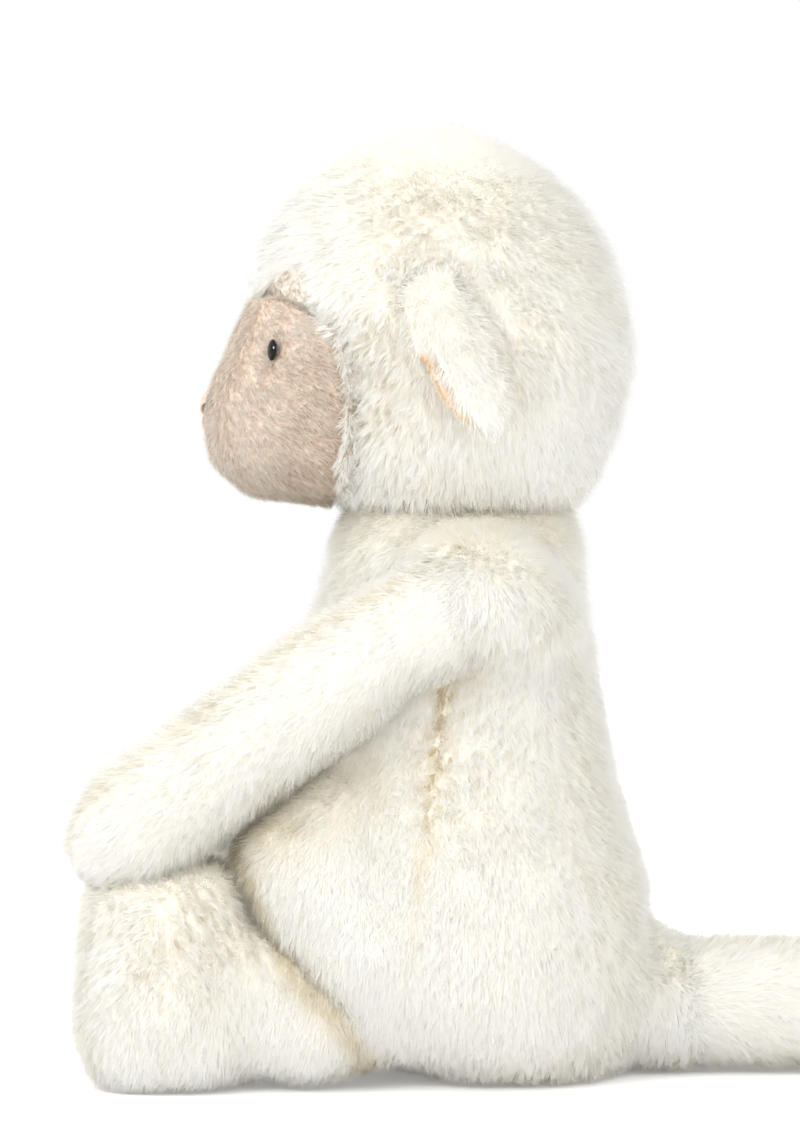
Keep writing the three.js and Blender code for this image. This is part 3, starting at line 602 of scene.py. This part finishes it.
def grow_pile(name, skin, material, seed, nap, coat, mess=None, seams=(), keep=None, shade=None, trim=None):
    """Hairs on a skin. A coat's lengths are in millimetres and its lift is in degrees."""
    dice = np.random.default_rng(seed)
    roots, normals = scattered(skin, coat["roots_per_mm2"], dice, keep)
    count = len(roots)
    messy = mess(roots) if mess else np.full(count, CALM)
    way = along_skin(nap(roots, normals), normals)
    tone_and_shade = np.full(count, UNSHADED) if shade is None else shade(roots, normals)
    size = coat["length"] * MM * dice.uniform(0.8, 1.12, count)
    if trim:
        size *= trim(roots, normals)
    parted, thread = np.zeros(count), np.zeros(count)
    for seam in seams:
        facing = np.array(seam["facing"], float) / np.linalg.norm(seam["facing"])
        apart = (roots - np.array(seam["point"], float) * MM) @ facing
        depth = seam_strength(seam, roots)
        close = np.exp(-np.abs(apart) / PART_REACH) * depth
        outwards = along_skin(np.sign(apart)[:, None] * facing, normals)
        way = along_skin(way + outwards * (0.6 * close)[:, None], normals)
        parted = np.maximum(parted, close)
        thread = np.maximum(thread, np.exp(-(apart / THREAD_REACH) ** 2) * depth)
    messy = np.clip(messy + 0.8 * parted, 0, 1)
    swirl = waves(seed + 1, BROAD_SWIRL)(roots) * (0.05 + 0.25 * messy)
    swirl = swirl + waves(seed + 2, FINE_SWIRL)(roots) * (0.05 + 0.7 * messy)
    way = turned(way, normals, swirl + dice.normal(0, 0.16, count))
    rise = np.radians(coat["lift"]) * (1 + waves(seed + 3, RISE_WAVE)(roots) * (0.04 + 0.16 * messy))
    rise = np.clip((rise + dice.normal(0, 0.12, count)) * (1 - 0.25 * parted), 0.12, 1.4)
    size *= (1 - 0.25 * parted) * (1 + 0.06 * waves(seed + 4, LENGTH_WAVE)(roots))
    low = roots - normals * ROOT_DEPTH
    tips = roots + (way * np.cos(rise)[:, None] + normals * np.sin(rise)[:, None]) * size[:, None]
    group = tufts(roots + way * TIP_REACH, coat["tuft"] * MM, seed)
    groups = int(group.max()) + 1
    pull = coat["cling"] * (0.5 + 1.3 * messy) * dice.uniform(0.5, 1.2, count)
    tips += (mean_of(tips, group, groups) - tips) * np.clip(pull, 0, 0.85)[:, None]
    tuft_tone = np.random.default_rng(seed + 5).normal(0, coat.get("speckle", 0.05), groups)[group]
    tone_and_shade = tone_and_shade + tuft_tone * (0.3 + 1.5 * messy) + dice.normal(0, coat.get("stray", 0.04), count)
    # Painted shade: darker where a seam parts the pile, among ruffled tufts, and on the seam's line.
    tone_and_shade = tone_and_shade - PARTED_PAINTED_SHADE * parted - MESSY_PAINTED_SHADE * messy - THREAD_PAINTED_SHADE * thread
    straight = unit(tips - low)
    sideways = turned(unit(np.cross(straight, normals)), straight, dice.normal(0, 0.2, count))
    sideways *= (coat["width"] * MM / 2 * dice.uniform(0.75, 1.2, count))[:, None]
    for line in (low, tips):
        line[:, 2] = np.maximum(line[:, 2], FLOOR_GAP / 2)
    return hair_piece(name, low, tips, sideways, normals, tone_and_shade, material)


# %% [markdown]
# Each pile is coloured darker at its roots than at its tips, as painted shade deep in the pile. One
# shader group gives every pile its colour from the hair's own map: V from root to tip, U from deep
# painted shade to none. A broad cloudiness stands for uneven dye. The material itself mixes what a
# hair sends back with what it lets through, which makes white plush glow.

# %% Pile colour group


def colour_mix(tree, factor, first, second, kind="MIX"):
    mix = tree.nodes.new("ShaderNodeMix")
    mix.data_type = "RGBA"
    mix.blend_type = kind
    for socket, value in ((mix.inputs["Factor"], factor), (mix.inputs[6], first), (mix.inputs[7], second)):
        if isinstance(value, bpy.types.NodeSocket):
            tree.links.new(value, socket)
        else:
            socket.default_value = value
    return mix.outputs[2]


def span(tree, value, low, high):
    """A value mapped from a range to 0 to 1."""
    node = tree.nodes.new("ShaderNodeMapRange")
    node.inputs["From Min"].default_value = low
    node.inputs["From Max"].default_value = high
    tree.links.new(value, node.inputs["Value"])
    return node.outputs["Result"]


def cloudiness(tree, scale, detail):
    """A noise in the piece's own coordinates."""
    coordinates = tree.nodes.new("ShaderNodeTexCoord")
    noise = tree.nodes.new("ShaderNodeTexNoise")
    noise.inputs["Scale"].default_value = scale
    noise.inputs["Detail"].default_value = detail
    tree.links.new(coordinates.outputs["Object"], noise.inputs["Vector"])
    return noise.outputs["Fac"]


def colour_group(name, inputs):
    """A shader group with named input colours and one output, and the nodes at both of its ends."""
    group = bpy.data.node_groups.new(name, "ShaderNodeTree")
    for socket_name in inputs:
        group.interface.new_socket(name=socket_name, in_out="INPUT", socket_type="NodeSocketColor")
    group.interface.new_socket(name="Colour", in_out="OUTPUT", socket_type="NodeSocketColor")
    return group, group.nodes.new("NodeGroupInput"), group.nodes.new("NodeGroupOutput")


def grouped_material(name, group, colours, roughness, specular):
    """A material whose base colour comes from a shader group with the given colours."""
    material = bpy.data.materials.new(name)
    material.use_nodes = True
    tree = material.node_tree
    colour = tree.nodes.new("ShaderNodeGroup")
    colour.node_tree = group
    for socket_name, value in colours.items():
        colour.inputs[socket_name].default_value = (*value, 1)
    shader = tree.nodes["Principled BSDF"]
    tree.links.new(colour.outputs["Colour"], shader.inputs["Base Color"])
    shader.inputs["Roughness"].default_value = roughness
    shader.inputs["Specular IOR Level"].default_value = specular
    return material, shader, colour


pile_group, given, result = colour_group("pile_colour", ("Root", "Middle", "Tip", "Shaded", "Deep"))
uv_map = pile_group.nodes.new("ShaderNodeUVMap")
uv_map.uv_map = "OFBake"
hair_map = pile_group.nodes.new("ShaderNodeSeparateXYZ")
pile_group.links.new(uv_map.outputs["UV"], hair_map.inputs[0])
# Painted shade deep in the pile: the roots are darker than the tips.
lower_half = colour_mix(pile_group, span(pile_group, hair_map.outputs["Y"], 0.0, 0.45), given.outputs["Root"],
                        given.outputs["Middle"])
whole_hair = colour_mix(pile_group, span(pile_group, hair_map.outputs["Y"], 0.45, 0.9), lower_half,
                        given.outputs["Tip"])
# Painted shade: a low U tints a hair towards Shaded, and the lowest towards Deep.
deep_tint = colour_mix(pile_group, span(pile_group, hair_map.outputs["X"], 0.0, 0.3), given.outputs["Deep"],
                       given.outputs["Shaded"])
shade_tint = colour_mix(pile_group, span(pile_group, hair_map.outputs["X"], 0.1, 0.75), deep_tint,
                        (1, 1, 1, 1))
shaded_hair = colour_mix(pile_group, 1.0, whole_hair, shade_tint, "MULTIPLY")
dye_tint = colour_mix(pile_group, cloudiness(pile_group, 60, 2), (0.992, 0.99, 0.976, 1), (1, 1, 1, 1))
pile_group.links.new(colour_mix(pile_group, 1.0, shaded_hair, dye_tint, "MULTIPLY"), result.inputs["Colour"])

# %% Pile materials
LET_THROUGH = 0.45
PILE_ROUGHNESS = 0.85
CLOTH_SPECULAR = 0.15


def pile_material(name, root, middle, tip, shaded, deep):
    """Pile that sends back a part of the light and lets the rest through."""
    colours = {"Root": root, "Middle": middle, "Tip": tip, "Shaded": shaded, "Deep": deep}
    material, shader, colour = grouped_material(name, pile_group, colours, PILE_ROUGHNESS, CLOTH_SPECULAR)
    tree = material.node_tree
    through = tree.nodes.new("ShaderNodeBsdfTranslucent")
    tree.links.new(colour.outputs["Colour"], through.inputs["Color"])
    both = tree.nodes.new("ShaderNodeMixShader")
    both.inputs["Fac"].default_value = LET_THROUGH
    tree.links.new(shader.outputs[0], both.inputs[1])
    tree.links.new(through.outputs[0], both.inputs[2])
    tree.links.new(both.outputs[0], tree.nodes["Material Output"].inputs["Surface"])
    return material


# The fourth and fifth colours of each pile are the tints of its painted shade.
wool = pile_material("wool_pile", (0.98, 0.973, 0.94), (0.996, 0.995, 0.980), (0.999, 0.999, 0.991),
                     (0.87, 0.81, 0.67), (0.68, 0.58, 0.40))
short_pile = pile_material("face_pile", (0.62, 0.53, 0.44), (0.83, 0.80, 0.75), (0.89, 0.875, 0.84),
                           (0.68, 0.55, 0.43), (0.50, 0.37, 0.24))
lining_pile = pile_material("lining_pile", (0.80, 0.55, 0.32), (0.93, 0.76, 0.54), (0.95, 0.83, 0.66),
                            (0.8, 0.6, 0.4), (0.6, 0.4, 0.25))

# %% [markdown]
# Under the pile lies the knitted backing: its threads are a fine grain in the cloth's own
# coordinates. Stuffing and the pouch use the same group with other colours.

# %% Knit group and cloth materials
knit_group, given, result = colour_group("knit_colour", ("Thread", "Gap"))
grain = span(knit_group, cloudiness(knit_group, 1600, 1), 0.35, 0.65)
knit_group.links.new(colour_mix(knit_group, grain, given.outputs["Gap"], given.outputs["Thread"]),
                     result.inputs["Colour"])


def cloth_material(name, thread, gap, roughness=0.95):
    return grouped_material(name, knit_group, {"Thread": thread, "Gap": gap}, roughness, CLOTH_SPECULAR)[0]


wool_backing = cloth_material("wool_backing", (0.96, 0.94, 0.89), (0.92, 0.88, 0.80))
face_backing = cloth_material("face_backing", (0.72, 0.60, 0.50), (0.66, 0.53, 0.43))
stuffing_fibre = cloth_material("stuffing_fibre", (0.97, 0.97, 0.96), (0.90, 0.90, 0.89))
pouch_cloth = cloth_material("pouch_cloth", (0.82, 0.80, 0.74), (0.74, 0.71, 0.65))
nose_thread = cloth_material("nose_thread", (0.74, 0.58, 0.50), (0.62, 0.46, 0.39), roughness=0.6)

# %% [markdown]
# The eyes and their washers are moulded plastic. Its colour drifts a little inside a piece, between
# two colours that each material gives to one shared group.

# %% Plastic group and materials
plastic_group, given, result = colour_group("plastic_colour", ("Light", "Dark"))
plastic_group.links.new(colour_mix(plastic_group, cloudiness(plastic_group, 400, 2), given.outputs["Dark"],
                                   given.outputs["Light"]), result.inputs["Colour"])


def plastic_material(name, light, dark, roughness, specular):
    return grouped_material(name, plastic_group, {"Light": light, "Dark": dark}, roughness, specular)[0]


eye_black = plastic_material("eye_black", (0.006, 0.0055, 0.0055), (0.002, 0.002, 0.002), 0.05, 0.2)
washer_plastic = plastic_material("washer_plastic", (0.85, 0.85, 0.83), (0.80, 0.80, 0.78), 0.5, 0.5)

# %% [markdown]
# The naps follow the photo: from the crown outwards on the head, down the body, along the arms
# towards the paws and down, straight down the feet, backwards along the tail, and on the face down
# the muzzle and back along its sides.

# %% Naps
CROWN = np.array([0, -12 * MM, 222 * MM])


def nap_towards(x, y, z):
    """A nap that runs the same way all over, mirrored between the left and right side."""
    return lambda places, normals: np.column_stack([np.sign(places[:, 0]) * x, np.full(len(places), float(y)),
                                                    np.full(len(places), float(z))])


def nap_head(places, normals):
    outwards = unit(places - CROWN)
    down = np.tile([0.0, 0.15, -1.0], (len(places), 1))
    forwards = step_up(-places[:, 1], 26 * MM, 46 * MM)[:, None]
    return outwards + down * 0.5 + forwards * np.array([0, -0.8, -0.2])


def nap_face(places, normals):
    """Down the front of the muzzle, and back along its sides."""
    side = np.clip(np.abs(normals[:, 0]) * 1.2, 0, 1)
    return np.column_stack([np.sign(places[:, 0]) * 0.12, 0.85 * side, -1.1 + 0.6 * side])


# %% [markdown]
# Two fields say where the pile is ruffled and where shade is painted into its colour. Round the ear,
# along the neck and beside the side seam it stands in ruffled tufts with painted shade among them,
# while the crown, the arms and the feet lie smooth. Painted shade also darkens the armpit, the
# crevices, the neck and the underside.

# %% Mess and shade fields


def head_mess(places):
    neck = 1 - step_up(places[:, 2], 134 * MM, 148 * MM)
    swirls = near(places, (38, -19, 196), 15) + near(places, (36, -34, 176), 12)
    swirls = swirls + near(places, (38, -2, 172), 10)
    cheek = near(places, (34, -34, 153), 17)
    top = 1 - step_up(places[:, 2], 200 * MM, 212 * MM)
    return np.clip(0.11 + 0.6 * swirls * top + 0.65 * cheek + 0.5 * neck, 0, 1)


def torso_mess(places):
    seam_side = near(places, (46, -11, 92), 14) + near(places, (47, -13, 70), 15)
    seam_side = seam_side + near(places, (44, -12, 122), 10)
    hem = 1 - step_up(places[:, 2], 4 * MM, 14 * MM)
    return np.clip(0.14 + 0.6 * seam_side + 0.5 * hem, 0, 1)


def leg_mess(places):
    return np.clip(0.14 + 0.65 * near(places, (50, -78, 34), 16), 0, 1)


def arm_mess(places):
    return np.clip(0.1 + 0.25 * near(places, (50, -66, 72), 16), 0, 1)


WOOL_TONE = 0.78
FACE_TONE = 0.77
CREVICE_Y = [-64.7, -55.7, -44.4, -31.9]
CREVICE_Z = [55.9, 31, 19.7, 3.8]


def in_crevice(places):
    """1 along the line where the thigh sinks between the haunch and the foot, seen from the side, where shade
    is painted.
    """
    line_z = np.interp(places[:, 1] / MM, CREVICE_Y, CREVICE_Z)
    off_line = (places[:, 2] / MM - line_z) * 0.65
    inside = (places[:, 1] > -67 * MM) & (places[:, 1] < -30 * MM) & (np.abs(places[:, 0]) > 25 * MM)
    return np.exp(-(off_line / 3.2) ** 2) * inside


def leg_shade(places, normals):
    # Painted shade in the thigh's crevice and among the ruffled tufts on the foot.
    return WOOL_TONE - 0.45 * in_crevice(places) - 0.12 * near(places, (50, -80, 38), 12)


def torso_shade(places, normals):
    # Painted shade under the head, in the armpit, under the arm, in the thigh's crevice and along the bottom.
    neck = step_up(places[:, 2], 121 * MM, 128 * MM)
    armpit = near(places, (46, -17, 97), 8) + near(places, (47, -20, 82), 6)
    under_arm = near(places, (45, -40, 74), 12) + near(places, (40, -58, 62), 10)
    under = 1 - step_up(places[:, 2], 0, 5 * MM)
    high = WOOL_TONE - 0.1 * neck - 0.6 * np.clip(armpit, 0, 1)
    return high - 0.3 * under_arm - 0.45 * in_crevice(places) - 0.4 * under


def head_shade(places, normals):
    # Painted shade at the neck and round the ear.
    neck = 1 - step_up(places[:, 2], 131 * MM, 140 * MM)
    by_ear = near(places, (40, -30, 165), 18) + near(places, (44, -4, 158), 14)
    by_ear = by_ear + near(places, (38, -26, 194), 14)
    return WOOL_TONE - 0.15 * neck - 0.1 * np.clip(by_ear, 0, 1)


def face_shade(places, normals):
    # The face is darker towards its back and bottom, and painted shade darkens the dent beside the eye.
    back = step_up(places[:, 1], -70 * MM, -50 * MM)
    low = 1 - step_up(places[:, 2], 165 * MM, 180 * MM)
    by_eye = near(places, (27, -64.3, 169.3), 2.6)
    return FACE_TONE - 0.33 * back * low - 0.6 * by_eye


def head_trim(places, normals):
    """The pile at the nape is caught in the neck seam, the fringe is long, and short over the brow."""
    nape = (1 - step_up(places[:, 2], 132 * MM, 142 * MM)) * step_up(places[:, 1], -20 * MM, 0)
    fringe = near(places, (0, -63, 190), 14)
    rim = step_up(-places[:, 1], 28 * MM, 37 * MM) * (1 - step_up(places[:, 2], 172 * MM, 182 * MM))
    low = 1 - step_up(places[:, 2], 133 * MM, 142 * MM)
    return 1 - 0.5 * nape + 0.3 * fringe - 0.6 * near(places, (28, -54, 186), 6) + 0.3 * np.maximum(rim, low)


EYE_MIDDLE = (27.5, -62, 169.8)


def face_trim(places, normals):
    return 1 - 0.6 * near(places, EYE_MIDDLE, 2.3)


# %% [markdown]
# Every panel gets its own pile. The torso's are split again between left and right, to keep each
# piece to a size that other programs open easily.

# %% Grow the torso and head
seam_line = np.array(BODY_SIDE["facing"], float) / np.linalg.norm(BODY_SIDE["facing"])
seam_point = np.array(BODY_SIDE["point"], float) * MM
pile_bodies = {}


def add_pile(name, body, slot, *arguments, **settings):
    piece = grow_pile(name, *arguments, **settings)
    pile_bodies[piece] = body


BROW_Y = [-66, -62, -58, -54, -51, -48, -46]
BROW_Z = [180, 184, 187.5, 191, 189, 184, 180]


def on_brow(places):
    """The two bare corners over the eyes, where the short pile of the face goes up between the wool."""
    inside = (places[:, 1] > -64 * MM) & (places[:, 1] < -46 * MM) & (places[:, 2] > 170 * MM)
    return inside & (places[:, 2] / MM < np.interp(places[:, 1] / MM, BROW_Y, BROW_Z))


def in_half(hand):
    return lambda places, normals: (places[:, 0] * hand > 0) & ~on_brow(places)


def brow_area(places, normals):
    return on_brow(places)


def in_panel(hand, front):
    return lambda places, normals: ((places[:, 0] * hand > 0)
                                    & (((places - seam_point) @ seam_line > 0) == front))


nap_down = nap_towards(0.4, -0.1, -1)
for side, hand, seed in (("left", 1, 1000), ("right", -1, 2000)):
    for panel, front in (("belly", True), ("back", False)):
        add_pile(f"{panel}_pile_{side}", "torso", "wool", torso_skin, wool, seed + front * 10, nap_down, WOOL,
                 mess=torso_mess, seams=[BODY_SIDE], keep=in_panel(hand, front), shade=torso_shade)
    add_pile(f"head_pile_{side}", "head", "wool", head_skin, wool, seed + 20, nap_head, WOOL, mess=head_mess,
             keep=in_half(hand), shade=head_shade, trim=head_trim)


# %% [markdown]
# The wool of the cheeks hangs over the rim of the face. Its edge was read from the photo: it comes
# forward over the brow and runs nearly straight down beside the cheek.

# %% Grow the face
WOOL_EDGE_Z = [133, 142, 155, 162, 171.5, 176.5, 181, 186]
WOOL_EDGE_Y = [-41.8, -42.4, -41.2, -40.6, -42.8, -46.6, -49.6, -52.2]


def on_face(places, normals):
    return places[:, 1] < -38 * MM


def face_wool_area(places, normals):
    edge = np.interp(places[:, 2] / MM, WOOL_EDGE_Z, WOOL_EDGE_Y) * MM
    return (places[:, 1] > edge) & (places[:, 1] < -33 * MM) & (places[:, 2] < 188 * MM)


add_pile("brow_pile", "head", "short_pile", head_skin, short_pile, 52, nap_towards(0.5, 0.85, -0.55),
         SHORT_PILE, keep=brow_area, shade=face_shade)
add_pile("cheek_wool", "head", "wool", face_skin, wool, 71, nap_towards(0.2, -0.8, -1),
         dict(WOOL, length=4.8), mess=head_mess, keep=face_wool_area, shade=head_shade)
add_pile("face_pile", "head", "short_pile", face_skin, short_pile, 51, nap_face, SHORT_PILE,
         keep=on_face, shade=face_shade, trim=face_trim)

# %% Grow the limbs
add_pile("tail_pile", "tail", "wool", skins["tail"], wool, 61, nap_towards(0, 1, -0.2), WOOL,
         seams=TAIL_MIDDLE)
for side, hand, seed in (("left", 1, 3000), ("right", -1, 4000)):
    add_pile(side + "_arm_pile", side + "_arm", "wool", skins[side + "_arm"], wool, seed,
             nap_towards(0.25, -0.85, -0.8), WOOL, mess=arm_mess, seams=[arm_seam(hand)])
    leg_seam = [dict(point=(hand * FOOT_MIDDLE_X, 0, 0), facing=(1, 0, 0), strength=0.35)]
    add_pile(side + "_leg_pile", side + "_leg", "wool", skins[side + "_leg"], wool, seed + 10,
             nap_towards(0.5, -0.25, -1), WOOL, mess=leg_mess, seams=leg_seam, shade=leg_shade)

# %% [markdown]
# The ear has wool on its outside, and short peach pile in the hollow and on the side that faces
# the head.

# %% Grow the ears


def is_lining(places, normals):
    inner = -normals[:, 0] * np.sign(places[:, 0]) > LINING_SHARE
    return (ear_opening(places) > LINING_SHARE) | inner


def is_ear_wool(places, normals):
    return ~is_lining(places, normals)


EAR_WOOL = dict(WOOL, length=4.4, roots_per_mm2=14, width=0.23)
LINING_SHARE = 0.35

for side, seed in (("left", 5000), ("right", 6000)):
    add_pile(side + "_ear_pile", side + "_ear", "wool", skins[side + "_ear"], wool, seed,
             nap_towards(0.2, 0.35, -1), EAR_WOOL, keep=is_ear_wool)
    add_pile(side + "_ear_lining_pile", side + "_ear", "ear_lining", skins[side + "_ear"], lining_pile,
             seed + 10, nap_towards(0, 0.2, -1), LINING_PILE, keep=is_lining)

# %% [markdown]
# The eyes are safety eyes: a glossy black dome on a shank. The dome is turned smooth, from a ball
# that is flattened along the way that the CAD eye faces, and sits in the dent of the face.

# %% Eyes
EYE_RADIUS = 2.5
EYE_FLATNESS = 0.42
EYE_LOOK_FORWARD = 3.2
EYE_SHIFT = Vector((0, 1.9, 0)) * MM


def eye_dome(side):
    """A smooth dome in the place of a CAD eye."""
    node_places = vertex_places(frame["nodes"][side + "_eye"])
    middle = node_places.mean(axis=0)
    axis = np.linalg.svd(node_places - middle, full_matrices=False)[2][0]
    axis *= np.sign(axis[0] * middle[0])
    axis += np.array([0, -EYE_LOOK_FORWARD, 0])
    axis /= np.linalg.norm(axis)
    deselect()
    bpy.ops.mesh.primitive_uv_sphere_add(segments=48, ring_count=24, radius=EYE_RADIUS * MM)
    dome = bpy.context.object
    dome.name = dome.data.name = side + "_eye_dome"
    dome.scale.z = EYE_FLATNESS
    dome.rotation_euler = Vector(axis).to_track_quat("Z", "Y").to_euler()
    dome.location = Vector(middle) + EYE_SHIFT
    bpy.ops.object.transform_apply(location=True, rotation=True, scale=True)
    bpy.ops.object.shade_smooth()
    dome.data.materials.append(eye_black)
    return dome


eyes = {side: eye_dome(side) for side in ("left", "right")}
for side, eye in eyes.items():
    print(side, "eye reaches x", round(float(np.abs(vertex_places(eye)[:, 0]).max() / MM), 1), "mm")

# %% [markdown]
# What makes an eye look wet is the window that it mirrors. A window bright enough to be seen in black
# plastic would burn out the white pile, so this one lights only the eyes, through light linking.

# %% Window for the eyes
window = soft_box("eye_window", (1.2, -0.06, 0.68), (0, -0.06, 0.17), 1.3, 125)
window.data.shape = "RECTANGLE"
window.data.size_y = 0.5
window.visible_diffuse = False
eye_collection = bpy.data.collections.new("lit_by_window")
for eye in eyes.values():
    eye_collection.objects.link(eye)
window.light_linking.receiver_collection = eye_collection

# %% [markdown]
# The nose is sewn: three bars of satin stitch in a Y. Each stitch is a short tube that lies on the
# pile of the muzzle and dips into it at both ends.

# %% Nose
NOSE_BARS = [((-5.4, 3.6), (-0.3, 0.3)), ((5.4, 3.6), (0.3, 0.3)), ((0, 0.6), (0, -4.6))]
NOSE_MIDDLE_Z = 156.4
STITCH_RADIUS = 0.34
STITCHES_WIDE = 5
STITCH_STEPS = 8
face_tree = BVHTree.FromObject(face_skin, bpy.context.evaluated_depsgraph_get())


def on_muzzle(x_mm, z_mm, out_mm):
    """The point in front of the muzzle's skin at a place seen from the front."""
    start = Vector((x_mm * MM, -0.2, (NOSE_MIDDLE_Z + z_mm) * MM))
    place, normal, _, _ = face_tree.ray_cast(start, Vector((0, 1, 0)))
    return place + normal * out_mm * MM


stitch_curve = bpy.data.curves.new("nose_stitches", "CURVE")
stitch_curve.dimensions = "3D"
stitch_curve.bevel_depth = STITCH_RADIUS * MM
stitch_curve.bevel_resolution = 2
stitch_curve.use_fill_caps = True
for (x1, z1), (x2, z2) in NOSE_BARS:
    length = math.hypot(x2 - x1, z2 - z1)
    side_x, side_z = -(z2 - z1) / length, (x2 - x1) / length
    for number in range(STITCHES_WIDE):
        shift = (number - (STITCHES_WIDE - 1) / 2) * STITCH_RADIUS * 1.7
        spline = stitch_curve.splines.new("POLY")
        spline.points.add(STITCH_STEPS)
        for step, point in enumerate(spline.points):
            share = step / STITCH_STEPS
            out = 0.5 + 1.1 * math.sin(math.pi * share) ** 0.5
            x, z = x1 + (x2 - x1) * share + side_x * shift, z1 + (z2 - z1) * share + side_z * shift
            point.co = (*on_muzzle(x, z, out), 1)
nose = bpy.data.objects.new("nose_satin_stitch", stitch_curve)
scene.collection.objects.link(nose)
make_active(nose)
bpy.ops.object.convert(target="MESH")
nose = bpy.context.object
nose.data.materials.append(nose_thread)
print("nose:", len(NOSE_BARS) * STITCHES_WIDE, "stitches")

# %% [markdown]
# Inside the skins lie the stuffing and the pouch of pellets. They are softened copies of the CAD
# forms, drawn in so that they stay within the cloth.

# %% Stuffing and pouch
FILLING_GAP = 1 * MM
fillings = [("torso_stuffing", "torso", stuffing_fibre), ("pellet_pouch", "torso", pouch_cloth)]
for body in ("head", "tail", "left_arm", "right_arm", "left_leg", "right_leg"):
    fillings.append((body + "_stuffing", body, stuffing_fibre))
for name, body, material in fillings:
    filling = stuffed_skin(name + "_soft", [name], draw_in=FILLING_GAP, smooth_turns=4)
    filling.data.materials.append(material)
    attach(filling, body)
    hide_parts(name)

# %% [markdown]
# Every piece rides on its body of the CAD model, and each skin stands for the panels that it covers.

# %% Bodies, washer material and replaced nodes
replaced = {"torso": ["belly_panel", "back_panel"], "head": ["head_left_panel", "head_right_panel"],
            "face": face_nodes}
for part, skin in skins.items():
    nodes = replaced.get(part) or [name for name in limb_nodes[part] if not name.endswith("stuffing")]
    skin.data.materials.append(face_backing if part == "face" else wool_backing)
    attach(skin, "head" if part == "face" else part)
    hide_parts(*nodes)
for piece, body in pile_bodies.items():
    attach(piece, body)
for side, eye in eyes.items():
    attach(eye, "head")
    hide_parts(side + "_eye")
    washer = frame["nodes"][side + "_eye_washer"]
    for slot in washer.material_slots:
        slot.material = washer_plastic
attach(nose, "head")
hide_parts("nose_stitching")
